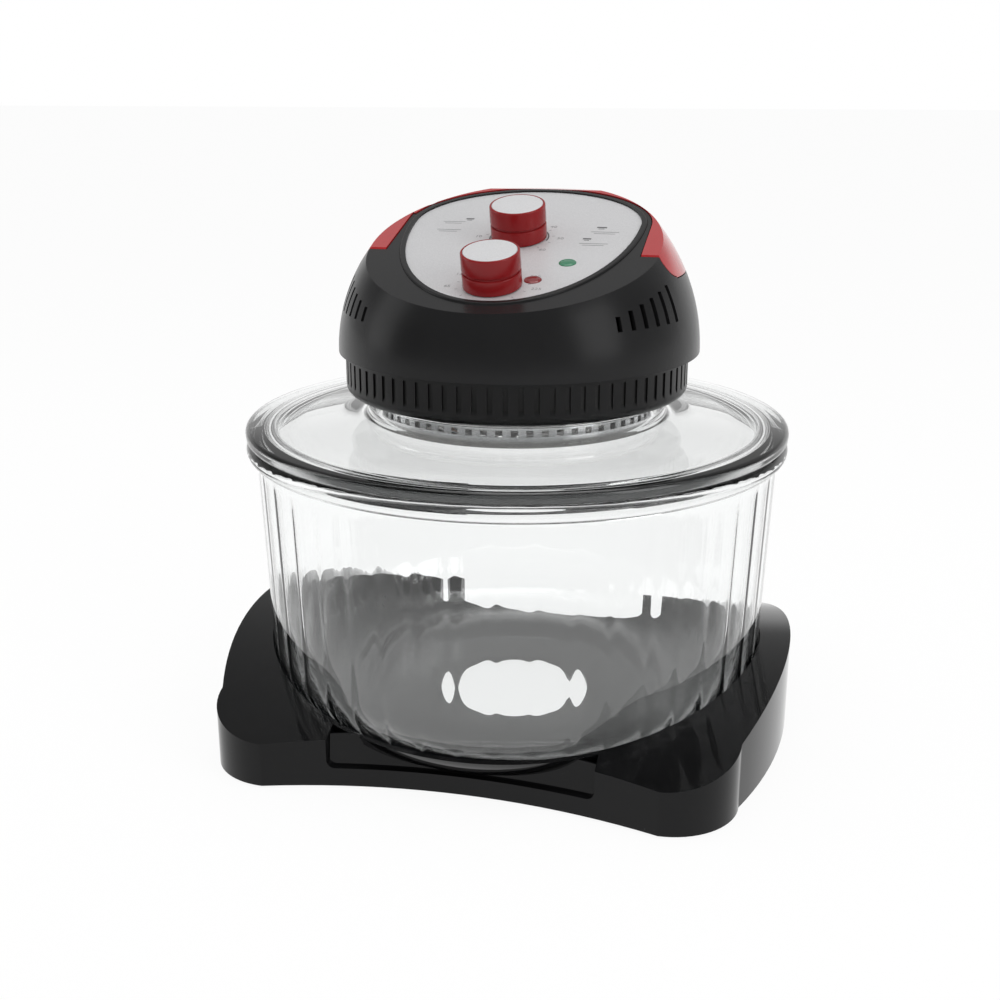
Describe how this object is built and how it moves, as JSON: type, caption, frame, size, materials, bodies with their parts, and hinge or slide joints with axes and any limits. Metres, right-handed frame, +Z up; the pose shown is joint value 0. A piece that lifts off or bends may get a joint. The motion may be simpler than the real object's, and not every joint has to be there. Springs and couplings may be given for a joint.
{
  "type": "halogen oven",
  "caption": "Countertop halogen oven: black stand, ribbed glass bowl, lift-off glass lid with a domed heating head, tilted panel with two knobs and a swinging horseshoe handle.",
  "frame": {"origin": "middle of the stand, on the table under its feet", "axes": "+Z up, the control panel's low front edge towards -Y, +X to the right seen from the front"},
  "size_m": [0.3484, 0.33, 0.3215],
  "materials": {
    "stand_shell": "glossy black",
    "stand_feet": "matt black",
    "glass_bowl": "clear, ribbed",
    "lid_glass": "clear",
    "neck_gasket": "grey silicone",
    "skirt_housing": "satin black",
    "dome_housing": "satin black",
    "panel_surround": "glossy black",
    "housing_screws": "zinc plated",
    "pivot_pins": "ground",
    "control_panel": "satin silver",
    "green_indicator_lens": "tinted green",
    "red_indicator_lens": "tinted red",
    "indicator_lamps": "neon lamps",
    "timer_unit": "grey",
    "thermostat_unit": "plain",
    "thermostat_bulb": "copper",
    "left_safety_switch": "black",
    "right_safety_switch": "black",
    "cord_gland": "black",
    "terminal_block": "cream",
    "motor_bracket": "zinc plated",
    "motor_end_plates": "cast",
    "motor_bearings": "sintered bronze",
    "motor_stator": "laminated",
    "motor_coil": "copper winding",
    "reflector_plate": "bright",
    "heat_shield": "bright",
    "halogen_ring": "quartz",
    "heater_end_caps": "white",
    "heater_clips": "plain",
    "fan_guard": "bright",
    "guard_spacers": "plain",
    "guard_screws": "bright",
    "carry_handle": "glossy red",
    "left_switch_plunger": "black",
    "right_switch_plunger": "black",
    "timer_knob": "glossy red",
    "timer_knob_cap": "satin silver",
    "timer_shaft": "plain",
    "thermostat_knob": "glossy red",
    "thermostat_knob_cap": "satin silver",
    "thermostat_shaft": "plain",
    "motor_rotor": "plain",
    "rotor_shaft": "ground",
    "cooling_fan": "plain",
    "circulation_fan": "plain",
    "fan_nut": "plain"
  },
  "bodies": {
    "stand": {"stand_shell": "stand_shell", "stand_feet": "stand_feet"},
    "bowl": {"glass_bowl": "glass_bowl"},
    "lid": {"lid_glass": "lid_glass", "neck_gasket": "neck_gasket", "skirt_housing": "skirt_housing", "housing_screws": "housing_screws", "dome_housing": "dome_housing", "pivot_pins": "pivot_pins", "panel_surround": "panel_surround", "control_panel": "control_panel", "green_indicator_lens": "green_indicator_lens", "red_indicator_lens": "red_indicator_lens", "indicator_lamps": "indicator_lamps", "timer_unit": "timer_unit", "thermostat_unit": "thermostat_unit", "thermostat_bulb": "thermostat_bulb", "left_safety_switch": "left_safety_switch", "right_safety_switch": "right_safety_switch", "cord_gland": "cord_gland", "terminal_block": "terminal_block", "motor_bracket": "motor_bracket", "motor_end_plates": "motor_end_plates", "motor_bearings": "motor_bearings", "motor_stator": "motor_stator", "motor_coil": "motor_coil", "reflector_plate": "reflector_plate", "heat_shield": "heat_shield", "halogen_ring": "halogen_ring", "heater_end_caps": "heater_end_caps", "heater_clips": "heater_clips", "fan_guard": "fan_guard", "guard_spacers": "guard_spacers", "guard_screws": "guard_screws"},
    "handle": {"carry_handle": "carry_handle"},
    "left_plunger": {"left_switch_plunger": "left_switch_plunger"},
    "right_plunger": {"right_switch_plunger": "right_switch_plunger"},
    "timer_control": {"timer_knob": "timer_knob", "timer_knob_cap": "timer_knob_cap", "timer_shaft": "timer_shaft"},
    "thermostat_control": {"thermostat_knob": "thermostat_knob", "thermostat_knob_cap": "thermostat_knob_cap", "thermostat_shaft": "thermostat_shaft"},
    "rotor": {"motor_rotor": "motor_rotor", "rotor_shaft": "rotor_shaft", "cooling_fan": "cooling_fan", "circulation_fan": "circulation_fan", "fan_nut": "fan_nut"}
  },
  "joints": [
    {"name": "bowl_lift", "type": "slide", "parent": "stand", "child": "bowl", "axis": [0, 0, 1], "range_m": [0, 0.15]},
    {"name": "lid_lift", "type": "slide", "parent": "bowl", "child": "lid", "axis": [0, 0, 1], "range_m": [0, 0.25]},
    {"name": "handle_swing", "type": "hinge", "parent": "lid", "child": "handle", "pos_m": [0, -0.01, 0.2865], "axis": [1, 0, 0], "range_deg": [0, 90]},
    {"name": "left_plunger_travel", "type": "slide", "parent": "lid", "child": "left_plunger", "axis": [0, 0, 1], "range_m": [0, 0.003]},
    {"name": "right_plunger_travel", "type": "slide", "parent": "lid", "child": "right_plunger", "axis": [0, 0, 1], "range_m": [0, 0.003]},
    {"name": "timer_turn", "type": "hinge", "parent": "lid", "child": "timer_control", "pos_m": [0, 0.00529, 0.29652], "axis": [0, -0.2756, 0.9613], "range_deg": [-300, 0]},
    {"name": "thermostat_turn", "type": "hinge", "parent": "lid", "child": "thermostat_control", "pos_m": [0, -0.06152, 0.27736], "axis": [0, -0.2756, 0.9613], "range_deg": [-270, 0]},
    {"name": "fan_spin", "type": "hinge", "parent": "lid", "child": "rotor", "pos_m": [0, 0, 0.23], "axis": [0, 0, 1], "continuous": true}
  ],
  "couplings": [
    {"joint": "left_plunger_travel", "follows": "handle_swing", "m_per_rad": 0.0019},
    {"joint": "right_plunger_travel", "follows": "handle_swing", "m_per_rad": 0.0019}
  ]
}
